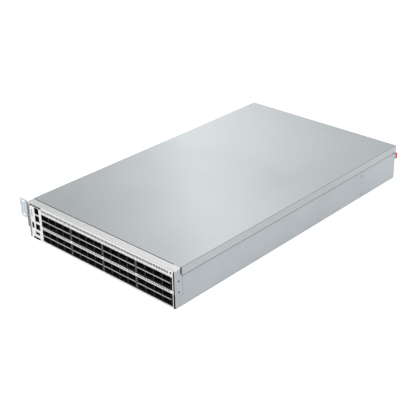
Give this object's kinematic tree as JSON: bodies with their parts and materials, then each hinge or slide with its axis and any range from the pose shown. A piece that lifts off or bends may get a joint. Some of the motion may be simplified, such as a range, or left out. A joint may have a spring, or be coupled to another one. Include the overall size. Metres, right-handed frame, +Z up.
{
  "type": "bare-metal ethernet switch",
  "caption": "Rack-mount network switch: folded sheet-metal chassis with stacked port cages, management sockets, slide-out fan trays and power supplies.",
  "frame": {"origin": "middle of the underside of the chassis floor", "axes": "+Z up, +Y from the port side to the fan side, +X to the right as seen from the port side"},
  "size_m": [0.4615, 0.78, 0.0877],
  "materials": {
    "cover_paint": "satin powder coat",
    "tray_paint": "satin powder coat",
    "front_paint": "satin powder coat",
    "ear_paint": "satin powder coat",
    "vent_metal": "bare perforated steel",
    "cage_metal": "nickel plated sheet",
    "connector_plastic": "moulded",
    "gasket_metal": "plated spring sheet",
    "light_pipe_plastic": "clear moulded",
    "jack_shield": "tinned sheet",
    "tag_plastic": "moulded",
    "button_plastic": "moulded",
    "board_resin": "solder mask",
    "chip_case": "nickel plated lid",
    "sink_aluminium": "extruded",
    "screw_steel": "zinc plated",
    "storage_case": "moulded",
    "bus_copper": "tinned copper",
    "bay_steel": "zinc plated sheet",
    "tray_body": "zinc plated sheet",
    "rotor_plastic": "moulded",
    "latch_red": "moulded",
    "psu_steel": "zinc plated sheet",
    "inlet_plastic": "moulded"
  },
  "bodies": {
    "chassis": {"chassis_tray": "tray_paint", "top_cover": "cover_paint", "front_rail": "front_paint", "front_panel": "front_paint", "management_panel": "front_paint", "side_vent_strip": "vent_metal", "rack_ear": "ear_paint", "ear_screws": "screw_steel", "port_connectors": "connector_plastic", "cage_gaskets": "gasket_metal", "light_pipes": "light_pipe_plastic", "network_jack_upper": "jack_shield", "network_jack_lower": "jack_shield", "console_jack": "jack_shield", "usb_port_side": "jack_shield", "usb_port_low": "jack_shield", "side_board": "board_resin", "main_board": "board_resin", "board_fixings": "screw_steel", "switch_chip": "chip_case", "switch_heatsink": "sink_aluminium", "cpu_board": "board_resin", "cpu_heatsink": "sink_aluminium", "memory_modules": "board_resin", "storage_module": "storage_case", "power_board": "board_resin", "bus_bars": "bus_copper", "fan_board": "board_resin", "fan_bay_frame": "bay_steel", "psu_shelf": "bay_steel", "port_cage_upper_1": "cage_metal", "port_cage_lower_1": "cage_metal", "port_cage_upper_2": "cage_metal", "port_cage_lower_2": "cage_metal", "port_cage_upper_3": "cage_metal", "port_cage_lower_3": "cage_metal", "port_cage_upper_4": "cage_metal", "port_cage_lower_4": "cage_metal"},
    "id_tag": {"id_tag": "tag_plastic"},
    "reset_button": {"reset_button": "button_plastic"},
    "fan_tray_1": {"fan_tray_1": "tray_body"},
    "fan_rotor_1": {"fan_rotor_1": "rotor_plastic"},
    "fan_latch_1": {"fan_latch_1": "latch_red"},
    "fan_tray_2": {"fan_tray_2": "tray_body"},
    "fan_rotor_2": {"fan_rotor_2": "rotor_plastic"},
    "fan_latch_2": {"fan_latch_2": "latch_red"},
    "fan_tray_3": {"fan_tray_3": "tray_body"},
    "fan_rotor_3": {"fan_rotor_3": "rotor_plastic"},
    "fan_latch_3": {"fan_latch_3": "latch_red"},
    "fan_tray_4": {"fan_tray_4": "tray_body"},
    "fan_rotor_4": {"fan_rotor_4": "rotor_plastic"},
    "fan_latch_4": {"fan_latch_4": "latch_red"},
    "psu_1": {"psu_case_1": "psu_steel", "psu_inlet_1": "inlet_plastic"},
    "psu_rotor_1": {"psu_rotor_1": "rotor_plastic"},
    "psu_latch_1": {"psu_latch_1": "latch_red"},
    "psu_2": {"psu_case_2": "psu_steel", "psu_inlet_2": "inlet_plastic"},
    "psu_rotor_2": {"psu_rotor_2": "rotor_plastic"},
    "psu_latch_2": {"psu_latch_2": "latch_red"}
  },
  "joints": [
    {"name": "id_tag_slide", "type": "slide", "parent": "chassis", "child": "id_tag", "axis": [0, -1, 0], "range_m": [0, 0.045]},
    {"name": "reset_press", "type": "slide", "parent": "chassis", "child": "reset_button", "axis": [0, 1, 0], "range_m": [0, 0.0012], "stiffness_N_per_m": 250},
    {"name": "fan_tray_1_slide", "type": "slide", "parent": "chassis", "child": "fan_tray_1", "axis": [0, 1, 0], "range_m": [0, 0.11]},
    {"name": "fan_rotor_1_spin", "type": "hinge", "parent": "fan_tray_1", "child": "fan_rotor_1", "pos_m": [0.1697, 0.305, 0.0425], "axis": [0, 1, 0], "continuous": true},
    {"name": "fan_latch_1_press", "type": "hinge", "parent": "fan_tray_1", "child": "fan_latch_1", "pos_m": [0.2124, 0.34, 0.0515], "axis": [0, 0, 1], "range_deg": [0, 8], "stiffness_Nm_per_rad": 0.3},
    {"name": "fan_tray_2_slide", "type": "slide", "parent": "chassis", "child": "fan_tray_2", "axis": [0, 1, 0], "range_m": [0, 0.11]},
    {"name": "fan_rotor_2_spin", "type": "hinge", "parent": "fan_tray_2", "child": "fan_rotor_2", "pos_m": [0.0793, 0.305, 0.0425], "axis": [0, 1, 0], "continuous": true},
    {"name": "fan_latch_2_press", "type": "hinge", "parent": "fan_tray_2", "child": "fan_latch_2", "pos_m": [0.122, 0.34, 0.0515], "axis": [0, 0, 1], "range_deg": [0, 8], "stiffness_Nm_per_rad": 0.3},
    {"name": "fan_tray_3_slide", "type": "slide", "parent": "chassis", "child": "fan_tray_3", "axis": [0, 1, 0], "range_m": [0, 0.11]},
    {"name": "fan_rotor_3_spin", "type": "hinge", "parent": "fan_tray_3", "child": "fan_rotor_3", "pos_m": [-0.0111, 0.305, 0.0425], "axis": [0, 1, 0], "continuous": true},
    {"name": "fan_latch_3_press", "type": "hinge", "parent": "fan_tray_3", "child": "fan_latch_3", "pos_m": [0.0316, 0.34, 0.0515], "axis": [0, 0, 1], "range_deg": [0, 8], "stiffness_Nm_per_rad": 0.3},
    {"name": "fan_tray_4_slide", "type": "slide", "parent": "chassis", "child": "fan_tray_4", "axis": [0, 1, 0], "range_m": [0, 0.11]},
    {"name": "fan_rotor_4_spin", "type": "hinge", "parent": "fan_tray_4", "child": "fan_rotor_4", "pos_m": [-0.1015, 0.305, 0.0425], "axis": [0, 1, 0], "continuous": true},
    {"name": "fan_latch_4_press", "type": "hinge", "parent": "fan_tray_4", "child": "fan_latch_4", "pos_m": [-0.0588, 0.34, 0.0515], "axis": [0, 0, 1], "range_deg": [0, 8], "stiffness_Nm_per_rad": 0.3},
    {"name": "psu_1_slide", "type": "slide", "parent": "chassis", "child": "psu_1", "axis": [0, 1, 0], "range_m": [0, 0.2]},
    {"name": "psu_rotor_1_spin", "type": "hinge", "parent": "psu_1", "child": "psu_rotor_1", "pos_m": [-0.1708, 0.366, 0.02155], "axis": [0, 1, 0], "continuous": true},
    {"name": "psu_latch_1_press", "type": "hinge", "parent": "psu_1", "child": "psu_latch_1", "pos_m": [-0.1481, 0.352, 0.02155], "axis": [0, 0, 1], "range_deg": [0, 8], "stiffness_Nm_per_rad": 0.15},
    {"name": "psu_2_slide", "type": "slide", "parent": "chassis", "child": "psu_2", "axis": [0, 1, 0], "range_m": [0, 0.2]},
    {"name": "psu_rotor_2_spin", "type": "hinge", "parent": "psu_2", "child": "psu_rotor_2", "pos_m": [-0.1708, 0.366, 0.06345], "axis": [0, 1, 0], "continuous": true},
    {"name": "psu_latch_2_press", "type": "hinge", "parent": "psu_2", "child": "psu_latch_2", "pos_m": [-0.1481, 0.352, 0.06345], "axis": [0, 0, 1], "range_deg": [0, 8], "stiffness_Nm_per_rad": 0.15}
  ]
}
